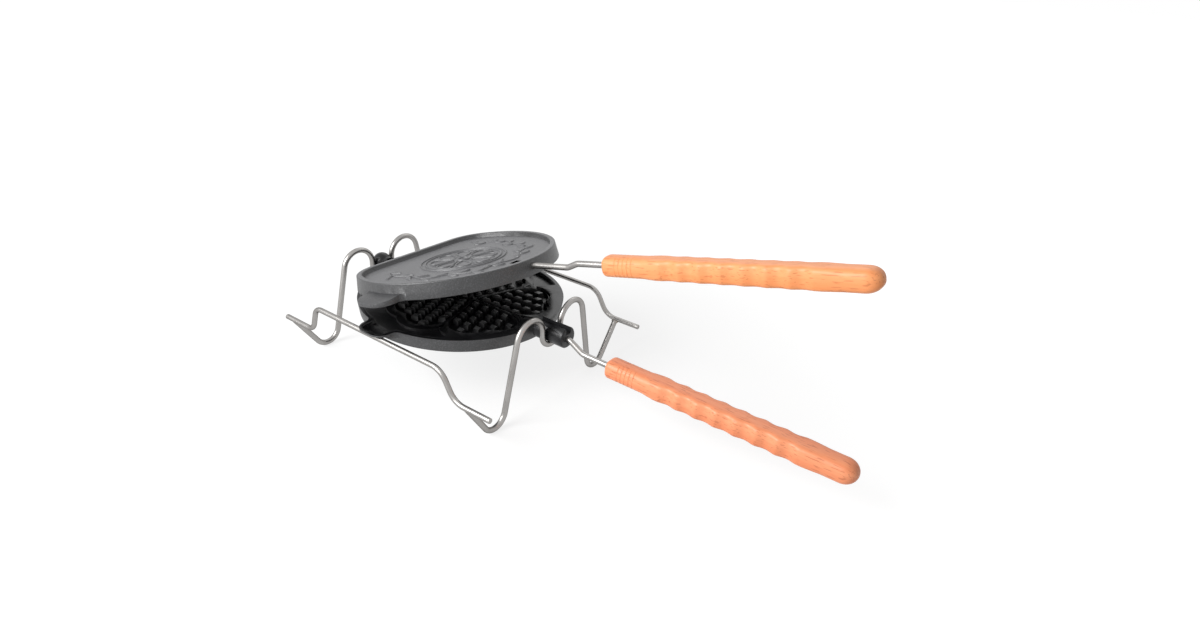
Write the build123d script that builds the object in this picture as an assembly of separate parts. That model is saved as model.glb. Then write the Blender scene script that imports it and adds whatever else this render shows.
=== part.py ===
"""Two-handled cast waffle iron that lies in a wire stand.

Frame: millimetres, +Z up. The origin is on the floor under the centre of the
round plates. +X runs to the handles, +Y to the side away from the pour lips.
The upper half stands open, as the iron does when it is being filled.
"""
from build123d import *
import math
import os

os.makedirs("parts", exist_ok=True)

# ---- driving sizes of the iron -------------------------------------------------
plate_radius = 100.0        # upper half's outline at the parting plane
chord_x = -68.8             # its straight edge at the hinge side
chord_corner = 40.0
lower_radius = 102.0        # the lower half's outline is wider and fuller
lower_chord_x = -84.0
lower_chord_corner = 25.0
parting_height = 75.0       # the lower half's rim above the floor
plate_gap = 0.3             # between the two rims when shut
lower_depth = 13.0
upper_depth = 14.7
wall_draft = 8.0            # degrees
rim_width = 5.0             # raised rim round the outer face
lower_recess = 3.5          # outer face below the rim
upper_recess = 4.5
edge_radius = 1.2

# waffle pattern: five hearts round one point, tips inwards
heart_count = 5
flower_x = 14.2             # the point where the hearts meet
lobe_radius = 20.3
lobe_land = 23.7            # a lobe's far side stops this much short of the plate's radius
bar_width = 3.4             # wall between two hearts
bar_drop = 2.6              # the walls stop below the rim
heart_depth = 6.6
stud_base = 7.4             # across the flats of a rhombic stud
stud_top = 5.8
stud_height = 4.6
stud_first = 7.2            # from the middle of a wall between hearts to the first row
stud_pitch = 12.2           # from row to row
stud_margin = 0.6           # between a stud's corner and the round end of the heart
pit_start = 60.5            # three-cornered pits at the walls' outer ends
pit_end = 67.5
pit_width = 4.4
pit_depth = 1.8

# overflow basin and pour lips
basin_land = 4.0            # rim left outside the basin
basin_depth = 5.0
basin_start = 55.0          # degrees about the plate's centre, on both sides
basin_end = 152.0
basin_corner = 3.0
ridge_width = 6.8           # wall between the hearts and the basin
lower_lip_x = -1.0
lower_lip_width = 35.0
lower_lip_corner = 13.0
lower_lip_overhang = 6.3    # beyond the middle of the side rail
upper_lip_x = 7.0
upper_lip_width = 41.0
upper_lip_corner = 15.0
upper_lip_overhang = 7.3
lip_thickness = 6.0
lip_blend = 6.0
spout_wall = 3.5            # lip left round the mouth
spout_depth = 1.6
spout_corner = 4.5
channel_depth = 4.0
channel_end = 104.0

# journals, hinge and roll axis
roll_height = 72.3
barrel_radius = 10.4
barrel_end = 134.5
groove_depth = 0.5
groove_width = 9.0
slot_width = 7.0
slot_floor = 3.8            # above the roll axis
neck_radius = 8.6
collar_radius = 8.0
collar_width = 2.4
hinge_x = -102.0
cheek_radius = 8.6
cheek_outer = 9.2           # half the width over the two cheeks
tongue_half = 3.3
cheek_clearance = 0.3
tongue_radius = 7.2
tongue_space = 2.6          # round the tongue's end
pin_radius = 2.5
pin_fit = 0.06
neck_root = 10.5            # from the hinge axis to the wide part of the upper neck
open_angle = 13.98          # degrees, as it stands

# ---- handles --------------------------------------------------------------------
rod_radius = 2.75
rod_fit = 0.05
rod_bend = 10.0
lower_rod_height = 70.6
lower_rod_start = 107.0
lower_rod_bend_from = 136.5
lower_rod_bend_to = 152.5
lower_grip_height = 61.0    # grip's axis at its front end
lower_grip_slope = -1.0     # degrees
upper_rod_height = 83.3
upper_rod_bend_from = 139.5
upper_rod_bend_to = 150.5
upper_grip_height = 87.5
upper_grip_slope = 0.25
grip_start = 182.0
grip_length = 227.5
grip_width = 24.0
grip_height = 22.0
grip_corner = 6.0
grip_rod_depth = 70.0
scallop_count = 5
scallop_pitch = 23.0
scallop_depth = 1.8
scallop_chord = 17.5        # length of a hollow's cut
scallop_crest = 7.0         # rounding of the crests between hollows
scallop_first = 62.0        # first hollow's middle from the grip's front end
grip_nose = 6.0
grip_tail = 24.0
nut_width = 8.0
nut_length = 4.5
nut_place = 4.2             # from the pocket's end wall
pocket_land = 5.0           # between the pocket and the plate's radius
pocket_length = 12.0
pocket_width = 10.4
pocket_floor = 4.2          # above the parting plane

# ---- stand ----------------------------------------------------------------------
rail_wire = 2.5             # wire radii
cradle_wire = 2.8
cradle_clearance = 0.3
rail_y = 113.2
rail_end_height = 43.0
rail_top_height = 69.5
rail_rear = -131.6
rail_front = 143.3
rail_rear_foot = -89.5      # corners of the side rail's line
rail_rear_top = -81.5
rail_front_top = 86.5
rail_front_foot = 102.5
rail_rear_bend = 10.5
rail_front_bend = 19.0
front_cradle_x = 114.6
rear_cradle_x = -122.6
arch_radius = 18.0
arch_height = 75.3          # centre of the arch's curve
foot_y = 77.0
foot_radius = 14.0

# ---- worked out -----------------------------------------------------------------
groove_radius = barrel_radius - groove_depth
cradle_radius = groove_radius + cradle_clearance + cradle_wire
upper_parting = parting_height + plate_gap
cheek_slot = tongue_half + cheek_clearance
draft_tangent = math.tan(math.radians(wall_draft))
lobe_distance = plate_radius - lobe_radius - lobe_land
basin_radius = lower_radius - basin_land
lower_lip_reach = rail_y + lower_lip_overhang
upper_lip_reach = rail_y + upper_lip_overhang
barrel_start = plate_radius + 1.0
pocket_end = plate_radius - pocket_land
pocket_start = pocket_end - pocket_length
upper_rod_start = pocket_start + nut_place - 1.6
sector_half = 180.0 / heart_count
lobe_turn = sector_half - math.degrees(
    math.asin((lobe_radius + bar_width / 2) / lobe_distance))


# ---- small helpers --------------------------------------------------------------
def save(shape, name):
    export_step(shape, f"parts/{name}.step")


def cylinder_x(radius, start, end, height):
    """Cylinder along X between two stations, at y = 0."""
    place = Plane(origin=(start, 0, height), x_dir=(0, 1, 0), z_dir=(1, 0, 0))
    return extrude(place * Circle(radius), end - start)


def cylinder_y(radius, start, end, x, height):
    """Cylinder along Y between two stations."""
    place = Plane(origin=(x, start, height), x_dir=(1, 0, 0), z_dir=(0, 1, 0))
    return extrude(place * Circle(radius), end - start)


def block(x0, x1, y0, y1, z0, z1):
    return Pos((x0 + x1) / 2, (y0 + y1) / 2, (z0 + z1) / 2) * Box(x1 - x0, y1 - y0, z1 - z0)


def belt(stations, place):
    """Line round a row of circles, joined by tangents. A station is (u, v, radius):
    a positive radius turns left, a negative one right, and zero is a plain end."""
    rows = []
    for (u0, v0, r0), (u1, v1, r1) in zip(stations, stations[1:]):
        du, dv = u1 - u0, v1 - v0
        turn = math.atan2(dv, du) - math.asin((r1 - r0) / math.hypot(du, dv))
        normal = (-math.sin(turn), math.cos(turn))
        rows.append((
            (u0 - r0 * normal[0], v0 - r0 * normal[1]),
            (u1 - r1 * normal[0], v1 - r1 * normal[1]), turn))
    edges = []
    for number, (start, end, turn) in enumerate(rows):
        if math.dist(start, end) > 0.01:
            edges.append(Line(place(*start), place(*end)))
        if number + 1 < len(rows):
            centre_u, centre_v, radius = stations[number + 1]
            sweep_angle = (rows[number + 1][2] - turn) % (2 * math.pi)
            if radius < 0:
                sweep_angle -= 2 * math.pi
            half = turn + sweep_angle / 2
            middle = (centre_u + radius * math.sin(half), centre_v - radius * math.cos(half))
            edges.append(ThreePointArc(place(*end), place(*middle), place(*rows[number + 1][0])))
    return Wire(edges)


def round_bar(path, radius):
    """Round wire or rod along a path."""
    start = Plane(origin=path @ 0, z_dir=path % 0)
    return sweep(start * Circle(radius), path=path)


# ---- castings, in a frame whose parting plane is z = 0 and whose body is below ---
def plate_outline(radius, chord, corner, inset=0.0):
    """Round outline with one straight edge, moved inwards by an inset."""
    disc = Circle(radius) & (Pos(chord + radius, 0) * Rectangle(2 * radius, 2 * radius))
    corners = disc.vertices().filter_by(lambda v: v.X < chord + 1)
    disc = fillet(corners, corner)
    return offset(disc, amount=-inset) if inset else disc


def heart(grow=0.0):
    """One heart, its tip at the origin and its lobes along +X. Grown or shrunk by a margin."""
    tip_gap = bar_width / 2 - grow
    lobes = [Pos(lobe_distance * math.cos(math.radians(side * lobe_turn)),
                 lobe_distance * math.sin(math.radians(side * lobe_turn))) * Circle(lobe_radius + grow)
             for side in (1, -1)]
    half = math.radians(sector_half)
    reach = lobe_distance * math.cos(math.radians(sector_half - lobe_turn))
    tip = (tip_gap / math.sin(half), 0)
    upper = (reach * math.cos(half) + tip_gap * math.sin(half),
             reach * math.sin(half) - tip_gap * math.cos(half))
    wedge = make_face(Polyline(tip, upper, (upper[0], -upper[1]), tip))
    return wedge + lobes[0] + lobes[1]


def hearts(grow=0.0):
    shapes = [Pos(flower_x, 0) * Rot(0, 0, sector_half * (2 * number + 1)) * heart(grow)
              for number in range(heart_count)]
    return shapes


def stud_face(width):
    """Rhombus whose sides run along the heart's straight sides."""
    turn = math.radians(sector_half)
    long, broad = width / (2 * math.sin(turn)), width / (2 * math.cos(turn))
    return make_face(Polyline((long, 0), (0, broad), (-long, 0), (0, -broad), (long, 0)))


def stud_places():
    """Middles of the studs in one heart: rows along both of its straight sides."""
    turn = math.radians(sector_half)
    lobe = (lobe_distance * math.cos(math.radians(lobe_turn)),
            lobe_distance * math.sin(math.radians(lobe_turn)))
    wedge_end = lobe_distance * math.cos(turn - math.radians(lobe_turn)) * math.cos(turn)
    rows = [(stud_first + number * stud_pitch) / math.sin(2 * turn)
            for number in range(int((lobe_distance + lobe_radius) / stud_pitch) + 1)]
    places = []
    for left in rows:
        for right in rows:
            along, across = (left + right) * math.cos(turn), (left - right) * math.sin(turn)
            corners = [(along + corner.X, abs(across + corner.Y))
                       for corner in stud_face(stud_base).vertices()]
            if all(u <= wedge_end or math.dist((u, v), lobe) <= lobe_radius - stud_margin
                   for u, v in corners):
                places.append((along, across))
    return places


def waffle_face(body):
    """Sinks the five hearts in a casting and leaves their studs standing."""
    for shape in hearts(bar_width / 2 + 0.01):
        body -= extrude(shape, -bar_drop)
    for shape in hearts():
        body -= extrude(Pos(0, 0, 0.5) * shape, -(heart_depth + 0.5))
    stud = Pos(0, 0, -heart_depth - 0.5) * extrude(
        stud_face(stud_base), stud_height + 0.5,
        taper=math.degrees(math.atan((stud_base - stud_top) / 2 / stud_height)))
    studs = []
    for number in range(heart_count):
        turn = Pos(flower_x, 0, 0) * Rot(0, 0, sector_half * (2 * number + 1))
        studs += [turn * Pos(along, across, 0) * stud for along, across in stud_places()]
    return body + studs


def bar_pits():
    """Pits at the outer ends of the walls between the hearts."""
    half = pit_width / 2
    face = make_face(Polyline((pit_start, 0), (pit_end, half), (pit_end, -half), (pit_start, 0)))
    pit = extrude(face, -(bar_drop + pit_depth))
    return [Pos(flower_x, 0, 0) * Rot(0, 0, 2 * sector_half * number) * pit
            for number in range(heart_count)]


def lip(middle, width, reach, corner):
    """Pour lip at the side, flush with the parting plane."""
    inner = plate_radius * 0.8
    length = reach - inner
    face = Pos(middle, -(inner + length / 2)) * RectangleRounded(width, length, corner)
    return extrude(face, -lip_thickness)


def plate_blank(outline, lip_sizes, depth, recess):
    """Drafted casting with its rim, outer recess and lip."""
    middle, width = lip_sizes[:2]
    body = extrude(plate_outline(*outline), -depth, taper=wall_draft)
    body = body + lip(*lip_sizes)
    body = fillet([edge for edge in body.edges().filter_by(GeomType.LINE, reverse=True)
                   if -lip_thickness - 0.1 < edge.center().Z < -0.1
                   and abs(abs(edge.center().X - middle) - width / 2) < 1.5
                   and edge.center().Y < -plate_radius * 0.92], lip_blend)
    outer = plate_outline(*outline, rim_width + depth * draft_tangent)
    pocket = extrude(Pos(0, 0, -depth) * outer, recess, taper=12)
    body -= pocket
    rims = body.edges().group_by(Axis.Z)[0]
    return fillet(rims, edge_radius)


def basin_region(side):
    """Part of the round inside the rim that one of the two basins lies in."""
    far = 2 * plate_radius
    points = [(0, 0)] + [(far * math.cos(math.radians(angle)), side * far * math.sin(math.radians(angle)))
                         for angle in (basin_start, (basin_start + basin_end) / 2, basin_end)]
    wedge = make_face(Polyline(*points, points[0]))
    inside = Pos(lower_chord_x + rim_width + 2 + far, 0) * Rectangle(2 * far, 2 * far)
    return Circle(basin_radius) & wedge & inside


def basins():
    """Overflow hollows between the hearts and the rim, and the mouth over the lip."""
    cuts = []
    for side in (1, -1):
        region = basin_region(side)
        ring = region
        for shape in hearts(bar_width / 2 + ridge_width):
            ring = ring - shape
        tips = [corner for corner in ring.vertices()
                if corner.X > 40 or corner.X < lower_chord_x + rim_width + 20]
        cuts.append(extrude(fillet(tips, basin_corner), -basin_depth))
        for shape in hearts(bar_width / 2):
            region = region - shape
        cuts.append(extrude(region, -bar_drop))
    inner = plate_radius * 0.84
    width = lower_lip_width - 2 * spout_wall
    length = lower_lip_reach - spout_wall + 1.0 - inner
    spout = Pos(lower_lip_x, -(inner + length / 2)) * RectangleRounded(
        width, length, lower_lip_corner - spout_wall)
    mouth = basin_region(-1) + spout
    turns = [corner for corner in mouth.vertices()
             if abs(abs(corner.X - lower_lip_x) - width / 2) < 0.5
             and -basin_radius - 1 < corner.Y < -basin_radius + 4]
    cuts.append(extrude(fillet(turns, spout_corner), -spout_depth))
    length = channel_end - inner
    channel = Pos(lower_lip_x, -(inner + length / 2)) * RectangleRounded(width, length, spout_corner)
    cuts.append(extrude(channel, -channel_depth))
    return cuts


# ---- lower half -----------------------------------------------------------------
def make_lower_plate():
    outline = (lower_radius, lower_chord_x, lower_chord_corner)
    lip_sizes = (lower_lip_x, lower_lip_width, lower_lip_reach, lower_lip_corner)
    body = waffle_face(plate_blank(outline, lip_sizes, lower_depth, lower_recess))
    for cut in basins() + bar_pits():
        body -= cut
    body = Pos(0, 0, parting_height) * body

    # round neck towards the hinge, below the parting plane
    neck = cylinder_x(neck_radius, hinge_x, lower_chord_x + rim_width, roll_height)
    neck -= block(hinge_x - 20, 0, -20, 20, parting_height, parting_height + 30)
    # ball that turns in the rear cradle, and the web between it and the cheeks
    ball = Pos(rear_cradle_x, 0, roll_height) * Rot(0, 0, 180) * Sphere(groove_radius)
    web = cylinder_x(neck_radius * 0.8, rear_cradle_x, hinge_x, roll_height)
    collar = cylinder_x(collar_radius, hinge_x - cheek_radius - collar_width,
                        hinge_x - cheek_radius + 1, roll_height)
    collar = chamfer(collar.edges().group_by(Axis.X)[0], 0.6)
    cheeks = cylinder_y(cheek_radius, -cheek_outer, cheek_outer, hinge_x, roll_height)
    hinge = neck + cheeks + web + collar
    hinge -= Pos(hinge_x, 0, roll_height) * Rot(90, 0, 0) * Cylinder(
        tongue_radius + tongue_space, 2 * cheek_slot)
    hinge -= block(hinge_x, hinge_x + neck_root, -cheek_slot, cheek_slot,
                   roll_height - 1, roll_height + 30)
    hinge -= cylinder_y(pin_radius, -20, 20, hinge_x, roll_height)
    body = body + hinge + ball

    # journal barrel that turns in the front cradle
    barrel = cylinder_x(barrel_radius, barrel_start, barrel_end, roll_height)
    barrel = chamfer(barrel.edges().group_by(Axis.X)[-1], 1.0)
    root = cylinder_x(barrel_radius, plate_radius - 12, barrel_start, roll_height)
    root &= block(plate_radius - 12, barrel_start, -20, 20, parting_height - lower_depth
                  + lower_recess, parting_height)
    ring = cylinder_x(barrel_radius + 2, front_cradle_x - groove_width / 2,
                      front_cradle_x + groove_width / 2, roll_height)
    ring -= cylinder_x(groove_radius, front_cradle_x - groove_width,
                       front_cradle_x + groove_width, roll_height)
    barrel = barrel - ring
    barrel -= block(barrel_start, barrel_end + 1, -slot_width / 2, slot_width / 2,
                    roll_height + slot_floor, roll_height + 30)
    body = body + root + barrel
    body -= cylinder_x(rod_radius + rod_fit, lower_rod_start - 0.3, barrel_end + 1,
                       lower_rod_height)
    # the lip's tip lies over the side rail
    step = rail_top_height + rail_wire + cradle_clearance
    body -= block(-60, 60, -lower_lip_reach - 1, -(rail_y - 2 * rail_wire - 1), 0, step)
    return body


# ---- upper half, made shut and then opened about the hinge -----------------------
def opened(shape):
    axle = Pos(hinge_x, 0, roll_height)
    return axle * Rot(0, -open_angle, 0) * axle.inverse() * shape


def make_upper_plate():
    outline = (plate_radius, chord_x, chord_corner)
    lip_sizes = (upper_lip_x, upper_lip_width, upper_lip_reach, upper_lip_corner)
    body = waffle_face(plate_blank(outline, lip_sizes, upper_depth, upper_recess))
    body = Pos(0, 0, upper_parting) * mirror(body, Plane.XY)

    neck = cylinder_x(neck_radius, hinge_x + neck_root, chord_x + rim_width, roll_height)
    neck = neck & block(hinge_x, 0, -20, 20, upper_parting, roll_height + neck_radius)
    arm = cylinder_y(tongue_radius, -tongue_half, tongue_half, hinge_x, roll_height)
    arm += block(hinge_x, hinge_x + neck_root + 6, -tongue_half, tongue_half,
                 upper_parting, roll_height + tongue_radius)
    body = body + neck + arm
    body -= cylinder_y(pin_radius + pin_fit, -20, 20, hinge_x, roll_height)

    # pocket for the nut, open to the outer face, and the rod's hole in the rim
    half = pocket_width / 2
    body -= block(pocket_start, pocket_end, -half, half, upper_parting + pocket_floor,
                  upper_parting + upper_depth - upper_recess + 1)
    body -= block(pocket_start - 9, pocket_start + 1, -half, half,
                  upper_parting + upper_depth - upper_recess - 1.6,
                  upper_parting + upper_depth - upper_recess + 1)
    body -= cylinder_x(rod_radius + rod_fit, pocket_start, plate_radius + 5, upper_rod_height)
    return body


def make_hinge_pin():
    pin = cylinder_y(pin_radius, -cheek_outer - 0.8, cheek_outer + 0.8, hinge_x, roll_height)
    return chamfer(pin.edges(), 0.6)


# ---- handles --------------------------------------------------------------------
def rod_path(start, rod_height, bend_from, bend_to, grip_axis, slope):
    rise = math.tan(math.radians(slope))
    end = grip_start + grip_rod_depth
    return FilletPolyline(
        (start, 0, rod_height), (bend_from, 0, rod_height),
        (bend_to, 0, grip_axis + (bend_to - grip_start) * rise),
        (end, 0, grip_axis + (end - grip_start) * rise), radius=rod_bend)


def make_grip(grip_axis, slope):
    """Flattened round-edged grip with finger hollows at its sides and a round tail."""
    half_chord = scallop_chord / 2
    hollow_radius = (half_chord ** 2 + scallop_depth ** 2) / (2 * scallop_depth)
    plan = Pos(grip_length / 2, 0) * Rectangle(grip_length, grip_width)
    for number in range(scallop_count):
        station = scallop_first + number * scallop_pitch
        for side in (1, -1):
            plan -= Pos(station, side * (grip_width / 2 - scallop_depth + hollow_radius)
                        ) * Circle(hollow_radius)
    crests = [corner for corner in plan.vertices() if 1 < corner.X < grip_length - 1]
    plan = fillet(crests, scallop_crest)
    section = Plane(origin=(0, 0, 0), x_dir=(0, 1, 0), z_dir=(1, 0, 0)) * RectangleRounded(
        grip_width, grip_height, grip_corner)
    body = extrude(section, grip_length)
    body &= Pos(0, 0, -grip_height) * extrude(plan, 2 * grip_height)
    reach = math.hypot(grip_width, grip_height) / 2
    profile = Wire([
        EllipticalCenterArc((grip_nose, 0), grip_nose, reach, 90, arc_size=90),
        Line((grip_nose, reach), (grip_length - grip_tail, reach)),
        EllipticalCenterArc((grip_length - grip_tail, 0), grip_tail, reach, 0, arc_size=90),
        Line((grip_length, 0), (0, 0))])
    turned = revolve(make_face(profile), Axis.X, 360)
    body = body & turned
    body = Pos(grip_start, 0, grip_axis) * Rot(0, -slope, 0) * body
    return body


def bored(grip, path):
    """Takes the rod's hole out of a grip."""
    hole = round_bar(path, rod_radius + rod_fit)
    return grip - hole


def make_nut():
    start = pocket_start + nut_place
    nut = block(start, start + nut_length, -nut_width / 2, nut_width / 2,
                upper_rod_height - nut_width / 2 + 0.3, upper_rod_height + nut_width / 2 - 0.6)
    return nut - cylinder_x(rod_radius + rod_fit, pocket_start, pocket_end, upper_rod_height)


# ---- stand ----------------------------------------------------------------------
def rail_path(y):
    return FilletPolyline(
        (rail_rear, y, rail_end_height), (rail_rear_foot, y, rail_end_height),
        (rail_rear_top, y, rail_top_height), (rail_front_top, y, rail_top_height),
        (rail_front_foot, y, rail_end_height), (rail_front, y, rail_end_height),
        radius=[rail_rear_bend, rail_rear_bend, rail_front_bend, rail_front_bend])


def make_rail(y):
    return chamfer_ends(round_bar(rail_path(y), rail_wire))


def chamfer_ends(bar):
    ends = bar.edges().group_by(Axis.X)
    return chamfer([ends[0][0], ends[-1][0]], 0.5)


def make_cradle(x):
    """One wire: from under a rail down to a foot, up over an arch, under the journal and back."""
    arch_y = cradle_radius + arch_radius
    foot_height = foot_radius + cradle_wire
    start = rail_wire * 0.5
    side = [(rail_y - start, rail_end_height - start, 0), (foot_y, foot_height, -foot_radius),
            (arch_y, arch_height, arch_radius), (0, roll_height, -cradle_radius)]
    other = [(-u, v, radius) for u, v, radius in reversed(side[:-1])]
    path = belt(side + other, lambda u, v: (x, u, v))
    wire = round_bar(path, cradle_wire)
    for y in (rail_y, -rail_y):
        wire -= round_bar(rail_path(y), rail_wire)
    return wire


lower_path = rod_path(lower_rod_start, lower_rod_height, lower_rod_bend_from,
                      lower_rod_bend_to, lower_grip_height, lower_grip_slope)
upper_path = rod_path(upper_rod_start, upper_rod_height, upper_rod_bend_from,
                      upper_rod_bend_to, upper_grip_height, upper_grip_slope)

save(make_rail(-rail_y), "near_rail")
save(make_rail(rail_y), "far_rail")
save(make_cradle(front_cradle_x), "front_cradle")
save(make_cradle(rear_cradle_x), "rear_cradle")
save(make_hinge_pin(), "hinge_pin")
save(round_bar(lower_path, rod_radius), "lower_rod")
save(bored(make_grip(lower_grip_height, lower_grip_slope), lower_path), "lower_grip")
save(opened(round_bar(upper_path, rod_radius)), "upper_rod")
save(opened(bored(make_grip(upper_grip_height, upper_grip_slope), upper_path)), "upper_grip")
save(opened(make_nut()), "upper_rod_nut")
save(make_lower_plate(), "lower_plate")
save(opened(make_upper_plate()), "upper_plate")
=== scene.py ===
import math

import bmesh
import bpy
import numpy as np
from mathutils import Matrix, Vector


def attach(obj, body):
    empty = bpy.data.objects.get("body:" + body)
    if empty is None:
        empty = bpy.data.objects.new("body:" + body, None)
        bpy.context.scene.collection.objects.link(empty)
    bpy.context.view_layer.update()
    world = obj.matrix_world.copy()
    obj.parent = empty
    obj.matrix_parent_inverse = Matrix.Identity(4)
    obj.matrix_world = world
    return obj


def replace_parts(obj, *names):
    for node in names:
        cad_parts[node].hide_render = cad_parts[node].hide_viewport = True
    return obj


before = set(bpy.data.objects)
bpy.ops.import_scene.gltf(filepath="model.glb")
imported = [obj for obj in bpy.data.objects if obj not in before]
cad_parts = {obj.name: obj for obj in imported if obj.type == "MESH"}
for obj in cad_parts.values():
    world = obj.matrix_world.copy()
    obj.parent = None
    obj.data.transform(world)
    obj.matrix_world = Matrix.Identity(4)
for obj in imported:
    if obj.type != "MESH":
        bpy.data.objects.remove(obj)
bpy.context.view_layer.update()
mm = 0.001
print("frame loaded, CAD nodes:", len(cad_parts))


# ---- camera ----
cameraView = {
    "target": (167.35, 0.0, 107.51),   # mm, middle of the picture
    "distance": 630.64,                # mm
    "azimuth": 32.99,                  # degrees, 0 looks along +Y
    "elevation": 26.51,
    "roll": 4.80,
    "focal": 717.18,                   # pixels on a picture 1200 wide
}


def makeCamera():
    # back points from the target to the eye; right and up are turned by the roll about it
    azimuth, elevation, roll = (math.radians(cameraView[k]) for k in ("azimuth", "elevation", "roll"))
    back = Vector((math.sin(azimuth) * math.cos(elevation),
                   -math.cos(azimuth) * math.cos(elevation), math.sin(elevation)))
    right = (-back).cross(Vector((0, 0, 1))).normalized()
    up = right.cross(-back)
    camX = right * math.cos(roll) + up * math.sin(roll)
    camY = up * math.cos(roll) - right * math.sin(roll)
    camera = bpy.data.cameras.new("camera")
    camera.sensor_width = 36.0
    camera.lens = cameraView["focal"] / 1200 * camera.sensor_width
    camera.clip_start = 0.01
    eye = bpy.data.objects.new("camera", camera)
    bpy.context.scene.collection.objects.link(eye)
    place = Matrix((camX, camY, back)).transposed().to_4x4()
    place.translation = Vector(cameraView["target"]) * mm + back * cameraView["distance"] * mm
    eye.matrix_world = place
    bpy.context.scene.camera = eye


makeCamera()
print("camera made")


# ---- shader helper ----
class Signal:
    # wraps a socket of a material's node tree; arithmetic on it adds Math nodes
    def __init__(self, tree, socket=None):
        self.tree = tree
        self.socket = socket

    def node(self, kind, settings=None, sockets=None, output=0):
        # adds a node: settings first, then the values or links of its sockets
        made = self.tree.nodes.new(kind)
        for key, value in (settings or {}).items():
            if key == "stops":
                ramp = made.color_ramp
                while len(ramp.elements) < len(value):
                    ramp.elements.new(0.5)
                for element, (position, colour) in zip(ramp.elements, value):
                    element.position = position
                    element.color = (*colour, 1.0) if len(colour) == 3 else colour
            else:
                setattr(made, key, value)
        for key, value in (sockets or {}).items():
            if isinstance(value, Signal):
                self.tree.links.new(value.socket, made.inputs[key])
            else:
                made.inputs[key].default_value = value
        return Signal(self.tree, made.outputs[output])

    def math(self, operation, *values):
        return self.node("ShaderNodeMath", {"operation": operation}, dict(enumerate(values)))

    def __add__(self, other):
        return self.math("ADD", self, other)

    __radd__ = __add__

    def __mul__(self, other):
        return self.math("MULTIPLY", self, other)

    __rmul__ = __mul__

    def __sub__(self, other):
        return self.math("SUBTRACT", self, other)

    def __rsub__(self, other):
        return self.math("SUBTRACT", other, self)

    def __truediv__(self, other):
        return self.math("DIVIDE", self, other)

    def __pow__(self, other):
        return self.math("POWER", self, other)

    def clamp(self, low=0.0, high=1.0):
        return self.node("ShaderNodeClamp", None, {"Value": self, "Min": low, "Max": high})

    def span(self, low, high, newLow=0.0, newHigh=1.0):
        # carries low..high to newLow..newHigh with soft ends
        return self.node("ShaderNodeMapRange", {"interpolation_type": "SMOOTHSTEP"},
                         {"Value": self, "From Min": low, "From Max": high, "To Min": newLow, "To Max": newHigh})

    def noise(self, place, scale, detail=2.0, rough=0.5):
        return self.node("ShaderNodeTexNoise", None,
                         {"Vector": place, "Scale": scale, "Detail": detail, "Roughness": rough})

    def blend(self, first, second):
        # self is the share of the second colour
        return self.node("ShaderNodeMix", {"data_type": "RGBA"},
                         {"Factor": self, 6: first, 7: second}, output=2)

    def bump(self, height, distance, strength=1.0, under=None):
        sockets = {"Height": height, "Distance": distance, "Strength": strength}
        if under:
            sockets["Normal"] = under
        return self.node("ShaderNodeBump", None, sockets)


def newMaterial(name, build):
    # build takes the tree's empty signal and returns the values and links of the surface's sockets
    material = bpy.data.materials.new(name)
    material.use_nodes = True
    tree = material.node_tree
    surface = next(n for n in tree.nodes if n.type == "BSDF_PRINCIPLED")
    for key, value in build(Signal(tree)).items():
        if isinstance(value, Signal):
            tree.links.new(value.socket, surface.inputs[key])
        else:
            surface.inputs[key].default_value = value
    return material


def shownRays(start):
    # 1 for what the camera sees, straight, in a reflection or through glass
    rays = [start.node("ShaderNodeLightPath", output=number) for number in (0, 3, 6)]
    return (rays[0] + rays[1] + rays[2]).clamp()


def objectPlace(start, scale=(1.0, 1.0, 1.0), turn=(0.0, 0.0, 0.0)):
    # Object coordinates in metres, stretched or turned
    coordinates = start.node("ShaderNodeTexCoord", output=3)
    return start.node("ShaderNodeMapping", None,
                      {"Vector": coordinates, "Scale": scale, "Rotation": turn})


# ---- materials ----
castIron = {
    "outside": {"dark": (0.008, 0.0082, 0.009), "light": (0.056, 0.057, 0.061), "rough": 0.42},
    # the face's colours are the outside's made lighter: painted sheen of the top face where it catches the light
    "face": {"dark": (0.066, 0.066, 0.070), "light": (0.125, 0.125, 0.133), "rough": 0.48},
    "grain": 1.15,         # mm, size of the sand grain
    # inside: the seasoned black of the hearts, also laid over the flat land as painted shade under the upper half
    "inside": {"dark": (0.003, 0.003, 0.0034), "worn": (0.007, 0.007, 0.0078), "rough": 0.30, "gloss": 0.35},
    # the stud tops' dark and worn colours are far lighter than the rest inside: painted glint on their flat tops
    "stud": {"dark": (0.030, 0.030, 0.031), "worn": (0.085, 0.085, 0.086), "rough": 0.30, "gloss": 0.6},
    "journal": {"dark": (0.006, 0.006, 0.007), "worn": (0.020, 0.020, 0.022), "rough": 0.32, "gloss": 0.35},
}


def sandIron(colours):
    # sand-cast skin: fine light specks, faint clouds and a grainy bump
    def build(start):
        place = objectPlace(start)
        grain = start.noise(place, 1000 / castIron["grain"], 3.0, 0.65)
        pits = start.noise(place, 420.0, 2.0, 0.5)
        clouds = start.noise(place, 26.0, 3.0)
        speckle = grain.span(0.46, 0.66)
        share = (speckle * 0.70 + clouds.span(0.3, 0.7) * 0.30).clamp()
        return {
            "Base Color": share.blend((*colours["dark"], 1), (*colours["light"], 1)),
            "Roughness": (grain * 0.22 + clouds * 0.10 + (colours["rough"] - 0.16)).clamp(),
            "Normal": start.bump(grain + pits * 0.6, 0.00022, 0.8),
            "Specular IOR Level": 0.8,
        }
    return build


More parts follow.
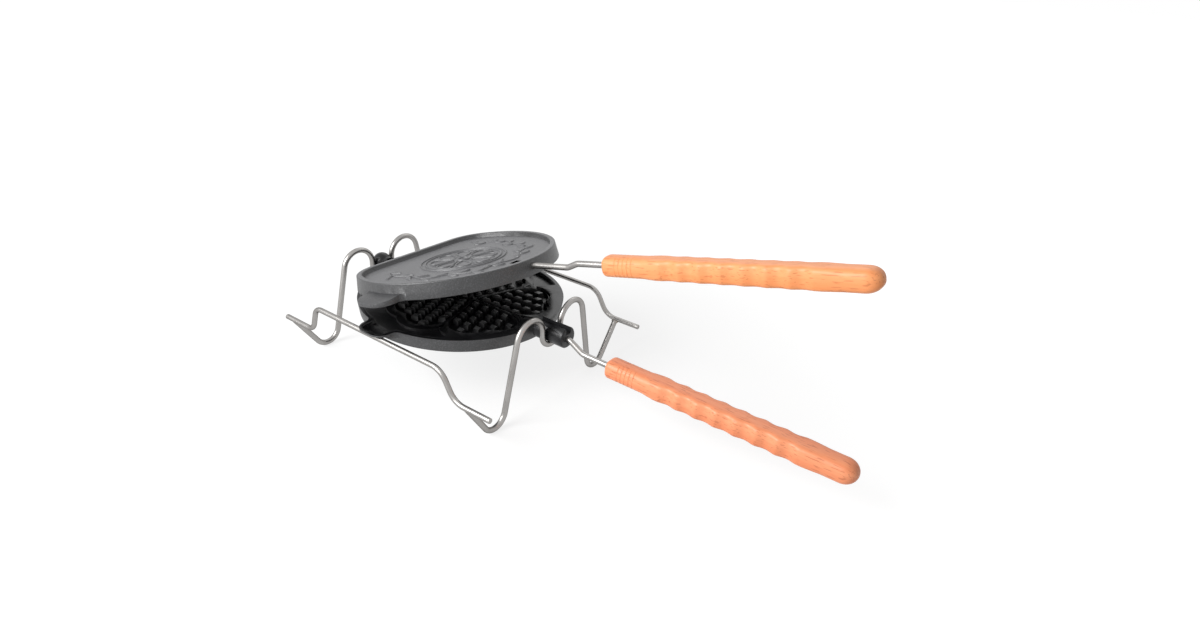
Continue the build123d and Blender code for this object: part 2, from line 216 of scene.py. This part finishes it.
def seasonedIron(colours):
    # oiled and baked: nearly black with a thin gloss and duller patches; on the stud tops its lighter colours are
    # painted glint
    def build(start):
        place = objectPlace(start)
        grain = start.noise(place, 1300.0, 2.0)
        wear = start.noise(place, 38.0, 3.0)
        return {
            "Base Color": wear.span(0.35, 0.75).blend((*colours["dark"], 1), (*colours["worn"], 1)),
            "Roughness": (wear * 0.22 + grain * 0.12 + (colours["rough"] - 0.15)).clamp(),
            "Normal": start.bump(grain, 0.00005, 0.55),
            "Specular IOR Level": colours["gloss"],
        }
    return build


steelFinish = {"colour": (0.40, 0.388, 0.375), "dark": (0.33, 0.32, 0.31), "rough": 0.34}


def drawnSteel(start):
    # fine streaks along the wire: the piece's UV has u round it and v along it, in metres
    uv = start.node("ShaderNodeUVMap", {"uv_map": "along"})
    streakPlace = start.node("ShaderNodeMapping", None, {"Vector": uv, "Scale": (800.0, 35.0, 1.0)})
    streaks = start.noise(streakPlace, 1.0, 3.0, 0.6)
    clouds = start.noise(objectPlace(start), 55.0, 3.0)
    share = (streaks * 0.5 + clouds * 0.5).span(0.32, 0.68)
    return {
        "Base Color": share.blend((*steelFinish["dark"], 1), (*steelFinish["colour"], 1)),
        "Specular Tint": (0.35, 0.34, 0.33, 1),
        "Metallic": 1.0,
        "Roughness": (streaks * 0.16 + clouds * 0.10 + (steelFinish["rough"] - 0.12)).clamp(),
        "Normal": start.bump(streaks, 0.00001, 0.3),
    }


def weldSteel(start):
    # rippled bead, browned by the heat
    place = objectPlace(start)
    ripple = start.noise(place, 900.0, 3.0)
    return {
        "Base Color": ripple.blend((0.22, 0.19, 0.16, 1), (0.45, 0.42, 0.38, 1)),
        "Metallic": 1.0,
        "Roughness": (ripple * 0.3 + 0.3).clamp(),
        "Normal": start.bump(ripple, 0.0003, 0.8),
    }


def darkSteel(start):
    # black oxide of the pin and the nut, worn brighter in places
    place = objectPlace(start)
    grain = start.noise(place, 900.0, 3.0)
    worn = start.noise(place, 160.0, 3.0).span(0.52, 0.72)
    return {
        "Base Color": worn.blend((0.10, 0.098, 0.095, 1), (0.33, 0.32, 0.31, 1)),
        "Metallic": 0.9,
        "Roughness": (grain * 0.25 + 0.28).clamp(),
        "Normal": start.bump(grain, 0.00005, 0.6),
    }


beech = {
    "lower": {"light": (0.85, 0.325, 0.16), "dark": (0.75, 0.235, 0.105), "fleck": (0.46, 0.12, 0.048)},
    "upper": {"light": (0.88, 0.355, 0.145), "dark": (0.80, 0.275, 0.095), "fleck": (0.52, 0.15, 0.048)},
    "rough": 0.42,
}


def oiledBeech(colours):
    # slow growth bands across the bar, fine pores and short ray flecks along it; the attribute
    # "local" holds the place in the grip's own directions, in metres
    def build(start):
        local = start.node("ShaderNodeAttribute", {"attribute_name": "local"}, output=1)

        def stretched(*scale):
            return start.node("ShaderNodeMapping", None, {"Vector": local, "Scale": scale})
        bands = start.noise(stretched(0.5, 9.0, 9.0), 9.0, 4.0, 0.55)
        rings = start.noise(stretched(0.3, 16.0, 16.0), 14.0, 2.0, 0.5)
        pores = start.noise(stretched(0.07, 1.2, 1.2), 1100.0, 3.0, 0.6)
        flecks = start.noise(stretched(0.16, 1.2, 1.2), 620.0, 1.0, 0.5).span(0.60, 0.68)
        figure = (bands * 0.6 + rings * 0.4).span(0.36, 0.64).blend(
            (*colours["dark"], 1), (*colours["light"], 1))
        fine = pores.span(0.42, 0.72, 0.0, 0.45).blend(figure, (*colours["dark"], 1))
        return {
            "Base Color": (flecks * 0.55).blend(fine, (*colours["fleck"], 1)),
            "Roughness": (pores * 0.2 + (beech["rough"] - 0.1)).clamp(),
            "Normal": start.bump(pores, 0.00004, 0.5),
            "Specular IOR Level": 0.4,
        }
    return build


finishes = {
    "outerIron": newMaterial("cast iron outside", sandIron(castIron["outside"])),
    "faceIron": newMaterial("cast iron face with painted sheen", sandIron(castIron["face"])),
    "innerIron": newMaterial("cast iron inside", seasonedIron(castIron["inside"])),
    "studIron": newMaterial("cast iron stud tops with painted glint", seasonedIron(castIron["stud"])),
    "journalIron": newMaterial("cast iron journals", seasonedIron(castIron["journal"])),
    "steel": newMaterial("satin steel", drawnSteel),
    "weld": newMaterial("weld", weldSteel),
    "darkSteel": newMaterial("dark steel", darkSteel),
    "lowerBeech": newMaterial("oiled beech below", oiledBeech(beech["lower"])),
    "upperBeech": newMaterial("oiled beech above", oiledBeech(beech["upper"])),
}
print("materials made:", len(finishes))


# ---- mesh helpers ----
def newPiece(name, points, faces, finish, body, uv=None, local=None):
    mesh = bpy.data.meshes.new(name)
    mesh.from_pydata(points.tolist(), [], faces.tolist())
    mesh.materials.append(finishes[finish])
    if uv is not None:
        layer = mesh.uv_layers.new(name="along")
        corners = np.zeros(len(mesh.loops), int)
        mesh.loops.foreach_get("vertex_index", corners)
        layer.data.foreach_set("uv", uv[corners].astype(np.float32).ravel())
    if local is not None:
        layer = mesh.attributes.new("local", "FLOAT_VECTOR", "POINT")
        layer.data.foreach_set("vector", local.astype(np.float32).ravel())
    mesh.polygons.foreach_set("use_smooth", np.ones(len(mesh.polygons), bool))
    piece = bpy.data.objects.new(name, mesh)
    bpy.context.scene.collection.objects.link(piece)
    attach(piece, body)
    return piece


def gridFaces(rows, columns, closed=True):
    # quads of a grid of rows; with closed the last column joins the first
    row, column = np.meshgrid(np.arange(rows - 1), np.arange(columns if closed else columns - 1), indexing="ij")
    after = (column + 1) % columns
    quads = np.stack([row * columns + column, row * columns + after,
                      (row + 1) * columns + after, (row + 1) * columns + column], axis=-1)
    return quads.reshape(-1, 4)


def bentLine(points, radii, step=4.0):
    # straight runs joined by tangent arcs: each corner is cut by radius * tan(half its turn)
    points = [np.array(p, float) for p in points]
    line = [points[0]]
    for before, corner, after, radius in zip(points, points[1:], points[2:], radii):
        inWay = (corner - before) / np.linalg.norm(corner - before)
        outWay = (after - corner) / np.linalg.norm(after - corner)
        turn = math.acos(float(np.clip(inWay @ outWay, -1, 1)))
        cut = radius * math.tan(turn / 2)
        side = outWay - inWay * (inWay @ outWay)
        side = side / np.linalg.norm(side)
        centre = corner - inWay * cut + side * radius
        angles = np.linspace(0, turn, max(3, int(math.degrees(turn) / step) + 1))[:, None]
        line += list(centre - side * radius * np.cos(angles) + inWay * radius * np.sin(angles))
    line.append(points[-1])
    return np.array(line)


def tubeAlong(line, radius, sides=28, endRound=0.5):
    # a circle carried square to the line, its frame turned as little as possible; at each end
    # the rings draw in and back on a quarter circle of the end rounding, and a point closes it
    way = np.gradient(line, axis=0)
    way[0], way[-1] = line[1] - line[0], line[-1] - line[-2]
    way /= np.linalg.norm(way, axis=1)[:, None]
    normal = np.cross(way[0], (0.0, 0.3, 1.0))
    normals = []
    for direction in way:
        normal = normal - direction * (normal @ direction)
        normal = normal / np.linalg.norm(normal)
        normals.append(normal)
    normals = np.array(normals)
    others = np.cross(way, normals)
    quarter = np.linspace(0, math.pi / 2, 5)
    inset = endRound * (1 - np.sin(quarter))
    back = endRound * (1 - np.cos(quarter))
    radii = np.concatenate([[0.0], radius - inset, np.full(len(line) - 2, radius),
                            (radius - inset)[::-1], [0.0]])
    centres = np.concatenate([line[:1], line[0] + way[0] * back[:, None], line[1:-1],
                              (line[-1] - way[-1] * back[:, None])[::-1], line[-1:]])
    repeat = np.concatenate([np.zeros(6, int), np.arange(1, len(line) - 1), np.full(6, len(line) - 1)])
    angle = np.linspace(0, 2 * math.pi, sides, endpoint=False)
    rim = (np.cos(angle)[None, :, None] * normals[repeat][:, None, :]
           + np.sin(angle)[None, :, None] * others[repeat][:, None, :])
    points = centres[:, None, :] + radii[:, None, None] * rim
    length = np.concatenate([[0], np.cumsum(np.linalg.norm(np.diff(centres, axis=0), axis=1))])
    uv = np.stack(np.broadcast_arrays(angle[None, :] * radius, length[:, None]), axis=-1) * mm
    return points.reshape(-1, 3) * mm, gridFaces(len(centres), sides), uv.reshape(-1, 2)


print("helpers ready")


# ---- how the upper half stands ----
hinge = {"x": -102.0, "height": 72.3, "open": 13.98}     # mm, and degrees above the shut place


def opened(points):
    # turns points given in mm for the shut iron about the hinge's axis, which runs along Y
    turn = math.radians(hinge["open"])
    x = points[..., 0] - hinge["x"]
    z = points[..., 2] - hinge["height"]
    return np.stack([hinge["x"] + x * math.cos(turn) - z * math.sin(turn), points[..., 1],
                     hinge["height"] + x * math.sin(turn) + z * math.cos(turn)], axis=-1)


def shut(points):
    # the way back: from where the upper half stands to the shut iron
    turn = math.radians(hinge["open"])
    x = points[..., 0] - hinge["x"]
    z = points[..., 2] - hinge["height"]
    return np.stack([hinge["x"] + x * math.cos(turn) + z * math.sin(turn), points[..., 1],
                     hinge["height"] - x * math.sin(turn) + z * math.cos(turn)], axis=-1)


# ---- wire stand ----
stand = {
    "railWire": 2.5,           # mm, radii of the wires
    "cradleWire": 2.8,
    "railY": 113.2,
    "rail": [(-131.6, 43.0), (-89.5, 43.0), (-81.5, 69.5), (86.5, 69.5), (102.5, 43.0), (143.3, 43.0)],
    "railBends": [10.5, 10.5, 19.0, 19.0],
    "cradleX": (114.6, -122.6),
    "foot": (77.0, 16.8, 14.0),      # y, height and radius of the bend at a foot
    "arch": (31.0, 75.3, 18.0),
    "seat": (0.0, 72.3, 13.0),       # bend under the journal
    "weldLength": 3.4,
}


def tangentLine(stations, step=4.0):
    # round a row of circles by their common tangents: a positive radius turns left, a negative
    # one right, zero is a plain end
    joins = []
    for (u0, v0, r0), (u1, v1, r1) in zip(stations, stations[1:]):
        turn = math.atan2(v1 - v0, u1 - u0) - math.asin((r1 - r0) / math.hypot(u1 - u0, v1 - v0))
        side = np.array([-math.sin(turn), math.cos(turn)])
        joins.append((np.array([u0, v0]) - r0 * side, np.array([u1, v1]) - r1 * side, turn))
    line = [joins[0][0]]
    for (_, end, turn), (start, _, nextTurn), (u, v, radius) in zip(joins, joins[1:], stations[1:]):
        sweep = (nextTurn - turn) % (2 * math.pi)
        if radius < 0:
            sweep -= 2 * math.pi
        angles = turn + np.linspace(0, sweep, max(4, int(abs(math.degrees(sweep)) / step)))
        line += list(np.stack([u + radius * np.sin(angles), v - radius * np.cos(angles)], axis=1))
    line.append(joins[-1][1])
    return np.array(line)


def makeRail(name, y):
    corners = [(x, y, height) for x, height in stand["rail"]]
    tube = tubeAlong(spread(bentLine(corners, stand["railBends"], 3.0)), stand["railWire"], endRound=0.7)
    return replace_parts(newPiece(name, *tube[:2], "steel", "stand", tube[2]), name)


def makeCradle(name, x):
    # one wire: from the weld under a rail to a foot, over an arch, under the journal and back
    inward = stand["railWire"] * 0.75
    footY, footHeight, footBend = stand["foot"]
    archY, archHeight, archBend = stand["arch"]
    side = [(stand["railY"] - inward, stand["rail"][0][1] - inward, 0), (footY, footHeight, -footBend),
            (archY, archHeight, archBend), (0, stand["seat"][1], -stand["seat"][2])]
    stations = side + [(-u, v, radius) for u, v, radius in reversed(side[:-1])]
    flat = tangentLine(stations)
    line = np.stack([np.full(len(flat), x), flat[:, 0], flat[:, 1]], axis=1)
    tube = tubeAlong(spread(line), stand["cradleWire"], endRound=0.4)
    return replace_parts(newPiece(name, *tube[:2], "steel", "stand", tube[2]), name)


def spread(line, longest=6.0):
    # adds points on the straight runs, so that no ring is stretched far along the wire
    rows = [line[:1]]
    for start, end in zip(line, line[1:]):
        count = max(1, math.ceil(float(np.linalg.norm(end - start)) / longest))
        rows.append(start + (end - start) * (np.arange(1, count + 1) / count)[:, None])
    return np.concatenate(rows)


def makeWelds():
    # a bead lies in each corner between a rail and a cradle wire: a lumpy ellipsoid
    around, along = np.meshgrid(np.linspace(0, 2 * math.pi, 28, endpoint=False),
                                np.linspace(-math.pi / 2, math.pi / 2, 15), indexing="xy")
    lump = 1 + 0.07 * np.sin(5 * around + 3 * along) + 0.05 * np.cos(9 * along)
    ball = np.stack([np.cos(along) * np.cos(around) * lump, np.cos(along) * np.sin(around) * lump,
                     np.sin(along)], axis=-1)
    height = stand["rail"][0][1]
    number = 0
    for x in stand["cradleX"]:
        for side in (1, -1):
            number += 1
            middle = np.array([x, side * (stand["railY"] - 2.1), height - 2.3])
            bead = middle + ball * (3.9, 2.0, 1.9)
            newPiece(f"weld_bead_{number}", bead.reshape(-1, 3) * mm, gridFaces(15, 28), "weld", "stand")


makeRail("near_rail", -stand["railY"])
makeRail("far_rail", stand["railY"])
makeCradle("front_cradle", stand["cradleX"][0])
makeCradle("rear_cradle", stand["cradleX"][1])
makeWelds()
print("stand made")


# ---- handles ----
handles = {
    "rod": 2.75,               # mm, radius
    "bend": 10.0,
    "gripStart": 182.0,
    "lower": {"from": 107.0, "height": 70.6, "bends": (136.5, 152.5), "grip": 61.0, "slope": -1.0},
    "upper": {"from": 85.6, "height": 83.3, "bends": (139.5, 150.5), "grip": 87.5, "slope": 0.25},
}


def rodLine(part):
    rise = math.tan(math.radians(part["slope"]))
    first, second = part["bends"]
    end = handles["gripStart"] + 30
    corners = [(part["from"], 0, part["height"]), (first, 0, part["height"]),
               (second, 0, part["grip"] + (second - handles["gripStart"]) * rise),
               (end, 0, part["grip"] + (end - handles["gripStart"]) * rise)]
    return spread(bentLine(corners, [handles["bend"]] * 2, 2.0))


def makeRod(name, part, body, place=None):
    points, faces, uv = tubeAlong(rodLine(part), handles["rod"], endRound=0.6)
    if place:
        points = place(points / mm) * mm
    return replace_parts(newPiece(name, points, faces, "steel", body, uv), name)


gripShape = {
    "length": 227.5,           # mm
    "halfWidth": (10.1, 10.7, 10.5),     # at the front, among the hollows and at the tail
    "halfHeight": 9.0,
    "square": (2.7, 4.2, 3.0),           # exponent of the section's superellipse, the same three places
    "nose": 4.0,
    "tail": 12.5,
    "rings": 5,
    "ringFirst": 14.5,
    "ringPitch": 4.1,
    "ringDepth": 0.42,
    "hollows": 7,
    "hollowFirst": 65.5,
    "hollowPitch": 18.0,
    "hollowDepth": 2.1,
}


def gripStations():
    g = gripShape
    ringEnd = g["ringFirst"] + g["rings"] * g["ringPitch"]
    nose = g["nose"] * (1 - np.cos(np.linspace(0, math.pi / 2, 12)))
    tail = g["length"] - g["tail"] * (1 - np.sin(np.linspace(0, math.pi / 2, 30)))
    return np.concatenate([nose, np.arange(g["nose"] + 1, g["ringFirst"] - 2, 1.0),
                           np.arange(g["ringFirst"] - 2, ringEnd, 0.2), np.arange(ringEnd, tail[0], 1.0), tail])


def gripSurface():
    # over station s and angle a the section is a superellipse; hollows narrow its half width,
    # rings are cut in its round sides only, nose and tail draw the whole section in
    g = gripShape
    s = gripStations()
    first = g["hollowFirst"] - 0.75 * g["hollowPitch"]
    last = g["hollowFirst"] + (g["hollows"] - 0.25) * g["hollowPitch"]
    places = [first - 12, first, last, last + 14]
    width = np.interp(s, places, [g["halfWidth"][0], g["halfWidth"][1], g["halfWidth"][1], g["halfWidth"][2]])
    square = np.interp(s, places, [g["square"][0], g["square"][1], g["square"][1], g["square"][2]])
    phase = (s - g["hollowFirst"]) / g["hollowPitch"]
    within = (phase > -0.5) & (phase < g["hollows"] - 0.5)
    width = width - within * g["hollowDepth"] * (0.5 + 0.5 * np.cos(2 * math.pi * phase)) ** 0.85
    angle = np.linspace(0, 2 * math.pi, 96, endpoint=False)
    across, up = np.abs(np.cos(angle)), np.abs(np.sin(angle))
    radius = ((across / width[:, None]) ** square[:, None]
              + (up / g["halfHeight"]) ** square[:, None]) ** (-1 / square[:, None])
    onSides = np.clip((across - 0.35) * 3, 0, 1)
    for number in range(g["rings"]):
        off = (s - g["ringFirst"] - number * g["ringPitch"]) / 0.42
        radius -= g["ringDepth"] * np.exp(-off ** 2)[:, None] * onSides
    inNose = np.clip(1 - s / g["nose"], 0, 1)
    radius -= g["nose"] * (1 - np.sqrt(1 - inNose ** 2))[:, None]
    inTail = np.clip((s - (g["length"] - g["tail"])) / g["tail"], 0, 1)
    radius *= np.sqrt(1 - inTail ** 2.2)[:, None]
    return np.stack([np.broadcast_to(s[:, None], radius.shape), radius * np.cos(angle),
                     radius * np.sin(angle)], axis=-1)


def makeGrip(name, part, finish, body, place=None):
    local = gripSurface()
    rows = len(local)
    front = np.broadcast_to(np.array([0.0, 0.0, 0.0]), (1,) + local.shape[1:])
    local = np.concatenate([front, local]).reshape(-1, 3)
    slope = math.radians(part["slope"])
    points = np.stack([handles["gripStart"] + local[:, 0] * math.cos(slope) - local[:, 2] * math.sin(slope),
                       local[:, 1],
                       part["grip"] + local[:, 0] * math.sin(slope) + local[:, 2] * math.cos(slope)], axis=1)
    if place:
        points = place(points)
    piece = newPiece(name, points * mm, gridFaces(rows + 1, 96)[:, ::-1], finish, body, local=local * mm)
    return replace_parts(piece, name)


makeRod("lower_rod", handles["lower"], "lower_half")
makeRod("upper_rod", handles["upper"], "upper_half", opened)
makeGrip("lower_grip", handles["lower"], "lowerBeech", "lower_half")
makeGrip("upper_grip", handles["upper"], "upperBeech", "upper_half", opened)
print("handles made")


# ---- castings ----
plates = {
    "parting": 75.0,           # mm, the lower half's rim
    "gap": 0.3,
    "depth": {"lower_plate": 13.0, "upper_plate": 14.7},
    "radius": {"lower_plate": 102.0, "upper_plate": 100.0},
    "draft": 8.0,              # degrees
    "heartFloor": 6.6,         # below the parting plane
    "studTop": 2.0,
    "lipMiddle": {"lower_plate": -1.0, "upper_plate": 7.0},
    "lipTaper": 0.38,
    "edge": 0.45,              # rounding of the cast edges
}


def taperLip(work, upper, radius):
    # the pour lip thins towards its tip, from the back only
    for vertex in work.verts:
        place = np.array(vertex.co) / mm
        place = shut(place) if upper else place
        out = min(max((-place[1] - radius - 0.5) / 17.0, 0.0), 1.0)
        if out > 0 and abs(place[0]) < 40:
            middle = plates["parting"] + (plates["gap"] if upper else 0)
            place[2] = middle + (place[2] - middle) * (1 - plates["lipTaper"] * out)
            vertex.co = Vector(opened(place) if upper else place) * mm


def makeCasting(node, body):
    # the CAD casting with merged points, flat stretches joined, its own finish inside and
    # outside, and every sharp edge rounded; painted shade lies on the land and in the upper
    # pocket, painted glint on the stud tops and painted sheen on the top face
    upper = node == "upper_plate"
    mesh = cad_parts[node].data.copy()
    mesh.name = node + "_cast"
    mesh.materials.clear()
    for finish in ("outerIron", "innerIron", "studIron", "journalIron", "faceIron"):
        mesh.materials.append(finishes[finish])
    work = bmesh.new()
    work.from_mesh(mesh)
    bmesh.ops.remove_doubles(work, verts=work.verts, dist=2e-6)
    bmesh.ops.dissolve_degenerate(work, edges=work.edges, dist=2e-6)
    bmesh.ops.dissolve_limit(work, angle_limit=math.radians(0.4), verts=work.verts, edges=work.edges)
    taperLip(work, upper, plates["radius"][node])
    work.normal_update()
    centres = np.array([face.calc_center_median() for face in work.faces]) / mm
    normals = np.array([face.normal for face in work.faces])
    if upper:
        tips = shut(centres + normals)
        centres = shut(centres)
        normals = tips - centres
        below = centres[:, 2] - plates["parting"] - plates["gap"]
        towards = -normals[:, 2]
    else:
        below = plates["parting"] - centres[:, 2]
        towards = normals[:, 2]
    wall = plates["radius"][node] - below * math.tan(math.radians(plates["draft"]))
    reach = np.hypot(centres[:, 0], centres[:, 1])
    finish = np.zeros(len(centres), int)
    inside = (below > -0.05) & (below < plates["heartFloor"] + 0.3) & (towards > -0.35)
    lip = (centres[:, 1] < -94) & (np.abs(centres[:, 0] - plates["lipMiddle"][node]) < 24)
    # the hearts take the seasoned black finish; upward flat faces out to the rim's edge take it too, painted
    # shade of the upper half over the land
    finish[inside & (reach < np.where(towards > 0.9, wall + 0.2, wall - 1.2)) & ~lip] = 1
    finish[inside & lip & (towards > 0.35) & (centres[:, 1] > -116.5)] = 1
    # the flat stud tops take the lighter stud finish: painted glint
    finish[inside & (np.abs(below - plates["studTop"]) < 0.25) & (towards > 0.95) & (reach < 85)] = 2
    if upper:
        shadePaintedPocket = (np.abs(centres[:, 1]) < 5.3) & (centres[:, 0] > 73.5) & (centres[:, 0] < 95.5)
        # the upper half's top face takes the lighter face finish: painted sheen
        finish[(towards < -0.9) & (centres[:, 2] > 84.0)] = 4
        # the pocket's faces take the black inside finish: painted shade
        finish[shadePaintedPocket & (centres[:, 2] > 79.3) & (centres[:, 2] < 85.4)] = 1
    else:
        finish[(centres[:, 0] > plates["radius"][node] - 0.5) | (centres[:, 0] < -101.0)] = 3
    for face, number in zip(work.faces, finish):
        face.material_index = int(number)
        face.smooth = True
    work.to_mesh(mesh)
    work.free()
    piece = bpy.data.objects.new(node + "_cast", mesh)
    bpy.context.scene.collection.objects.link(piece)
    rounding = piece.modifiers.new("rounded edges", "BEVEL")
    rounding.width = plates["edge"] * mm
    rounding.segments = 2
    rounding.limit_method = "ANGLE"
    rounding.angle_limit = math.radians(28)
    rounding.harden_normals = True
    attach(piece, body)
    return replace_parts(piece, node)


makeCasting("lower_plate", "lower_half")
makeCasting("upper_plate", "upper_half")
print("castings made")


# ---- low relief on the upper half's face ----
relief = {
    "face": 85.5,              # mm, the recessed face of the shut iron
    "height": 1.15,
    "line": 1.8,               # width of a raised line
    "middle": (8.0, 0.0),
    "rings": (42.0, 37.5),
    "petals": 8,
    "vine": 66.0,              # radius about the plate's middle
    "vineEnds": 122.0,         # degrees to both sides
    "leafLength": 13.0,
    "leafWidth": 5.2,
}


def raised(line, widths, closed=False):
    # a line with a rounded flat-topped section; its feet lie just under the face
    if closed:
        line = np.concatenate([line, line[:1]])
    widths = np.broadcast_to(widths, len(line))
    way = np.gradient(line, axis=0)
    if closed:
        way[0] = way[-1] = line[1] - line[-2]
    way /= np.linalg.norm(way, axis=1)[:, None]
    side = np.stack([way[:, 1], -way[:, 0]], axis=1)
    across = np.array([-0.5, -0.36, -0.18, 0.18, 0.36, 0.5])
    rise = np.array([-0.2, 0.75, 1.0, 1.0, 0.75, -0.2]) * relief["height"]
    flat = line[:, None, :] + side[:, None, :] * (across * widths[:, None])[..., None]
    height = relief["face"] + rise * np.clip(widths / relief["line"], 0.12, 1.25)[:, None]
    return np.concatenate([flat, height[..., None]], axis=2)


def reliefLines():
    turn = np.linspace(0, 2 * math.pi, 120, endpoint=False)
    middle = np.array(relief["middle"])
    round120 = np.stack([np.cos(turn), np.sin(turn)], axis=1)
    for radius in relief["rings"]:
        yield raised(middle + radius * round120, relief["line"], True)
    yield raised(middle + 6.0 * round120[::2], 3.2, True)
    for number in range(relief["petals"]):
        # a petal is an ellipse drawn in polar coordinates
        angle = 2 * math.pi * number / relief["petals"] + 0.30 * np.sin(turn[::3])
        reach = 21.5 + 11.5 * np.cos(turn[::3])
        yield raised(middle + reach[:, None] * np.stack([np.cos(angle), np.sin(angle)], axis=1),
                     relief["line"] * 0.85, True)
        between = 2 * math.pi * (number + 0.5) / relief["petals"]
        spoke = np.linspace(22.0, 33.5, 14)
        yield raised(middle + spoke[:, None] * (math.cos(between), math.sin(between)),
                     2.6 * np.sin(np.linspace(0, math.pi, 14)) + 0.25)
    ends = math.radians(relief["vineEnds"])
    along = np.linspace(-ends, ends, 260)
    reach = relief["vine"] + 3.4 * np.sin(along * 9)
    yield raised(reach[:, None] * np.stack([np.cos(along), np.sin(along)], axis=1),
                 relief["line"] * 0.8 * np.clip((ends - np.abs(along)) * 12, 0.1, 1))
    for number in range(26):
        # leaves stand to both sides of the vine by turns, and lean along it
        place = -ends + 2 * ends * (number + 0.5) / 26
        side = 1 if number % 2 else -1
        if abs(place) < 0.16 and side > 0:
            continue
        start = (relief["vine"] + 3.4 * math.sin(place * 9)) * np.array([math.cos(place), math.sin(place)])
        lean = place + math.pi / 2 - side * math.radians(52)
        step = np.linspace(0, 1, 18)
        bend = lean + side * 0.5 * (step - 0.5)
        leaf = start + (step * relief["leafLength"])[:, None] * np.stack([np.cos(bend), np.sin(bend)], axis=1)
        yield raised(leaf, relief["leafWidth"] * np.sin(math.pi * step ** 0.8) ** 0.8 + 0.25)


def makeRelief():
    points, faces, count = [], [], 0
    for sheet in reliefLines():
        points.append(sheet.reshape(-1, 3))
        faces.append(gridFaces(len(sheet), 6, closed=False) + count)
        count += len(points[-1])
    # the relief takes the face finish with its painted sheen
    newPiece("leaf_relief", opened(np.concatenate(points)) * mm, np.concatenate(faces), "faceIron", "upper_half")


makeRelief()
print("relief made")


# ---- floor, lights and world ----
studio = {
    "floor": (0.80, 0.80, 0.80, 1),
    "floorSeen": (0.24, 0.24, 0.24, 1),   # the part of the seen floor that takes shadows
    "floorGlow": 0.79,                    # the rest, even
    "whiteFrom": 0.25,                    # metres from the object's middle to where the floor is plain white
    "whiteTo": 0.80,
    "world": 0.30,
    "key": {"power": 29.0, "size": (1.0, 0.8), "azimuth": -22.0, "elevation": 33.0, "distance": 1.5},
    "back": {"power": 3.5, "size": (1.5, 0.7), "azimuth": 205.0, "elevation": 38.0, "distance": 1.5},
}


def makeFloor():
    half = 30.0
    mesh = bpy.data.meshes.new("floor")
    mesh.from_pydata([(-half, -half, 0), (half, -half, 0), (half, half, 0), (-half, half, 0)], [], [(0, 1, 2, 3)])
    floor = bpy.data.objects.new("floor", mesh)
    bpy.context.scene.collection.objects.link(floor)

    def floorFinish(start):
        # the camera sees a bright even floor with a faint shadow on it, all white further off;
        # the object is lit by a plain pale floor
        seen = shownRays(start)
        away = start.node("ShaderNodeVectorMath", {"operation": "LENGTH"}, {0: objectPlace(start)}, output=1)
        near = (studio["floorGlow"],) * 3 + (1,)
        glow = away.span(studio["whiteFrom"], studio["whiteTo"]).blend(near, (1, 1, 1, 1))
        return {
            "Base Color": seen.blend(studio["floor"], studio["floorSeen"]),
            "Roughness": 0.9,
            "Specular IOR Level": 0.0,
            "Emission Color": seen.blend((0, 0, 0, 1), glow),
            "Emission Strength": 1.0,
        }
    mesh.materials.append(newMaterial("pale floor", floorFinish))


def addLamp(name, lamp):
    # azimuth 0 is the side of the pour lips, as for the camera
    aim = Vector((0.08, 0, 0.06))
    azimuth, elevation = math.radians(lamp["azimuth"]), math.radians(lamp["elevation"])
    way = Vector((math.sin(azimuth) * math.cos(elevation), -math.cos(azimuth) * math.cos(elevation),
                  math.sin(elevation)))
    light = bpy.data.lights.new(name, "AREA")
    light.shape = "RECTANGLE"
    light.size, light.size_y = lamp["size"]
    light.energy = lamp["power"]
    body = bpy.data.objects.new(name, light)
    bpy.context.scene.collection.objects.link(body)
    turn = (-way).to_track_quat("-Z", "Y").to_matrix().to_4x4()
    body.matrix_world = Matrix.Translation(aim + way * lamp["distance"]) @ turn


def makeWorld():
    # white behind the object and in its reflections, softer as light
    world = bpy.data.worlds.new("studio")
    world.use_nodes = True
    bpy.context.scene.world = world
    start = Signal(world.node_tree)
    back = world.node_tree.nodes["Background"]
    colour = shownRays(start).blend((studio["world"],) * 3 + (1,), (1, 1, 1, 1))
    world.node_tree.links.new(colour.socket, back.inputs["Color"])


makeFloor()
makeWorld()
addLamp("key softbox", studio["key"])
addLamp("back softbox", studio["back"])
print("studio ready")

for name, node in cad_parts.items():
    finish = {"plate": "outerIron", "grip": "lowerBeech", "pin": "darkSteel", "nut": "darkSteel"}.get(
        name.split("_")[-1], "steel")
    node.data.materials.clear()
    node.data.materials.append(finishes[finish])
bpy.context.scene.view_settings.view_transform = "Standard"
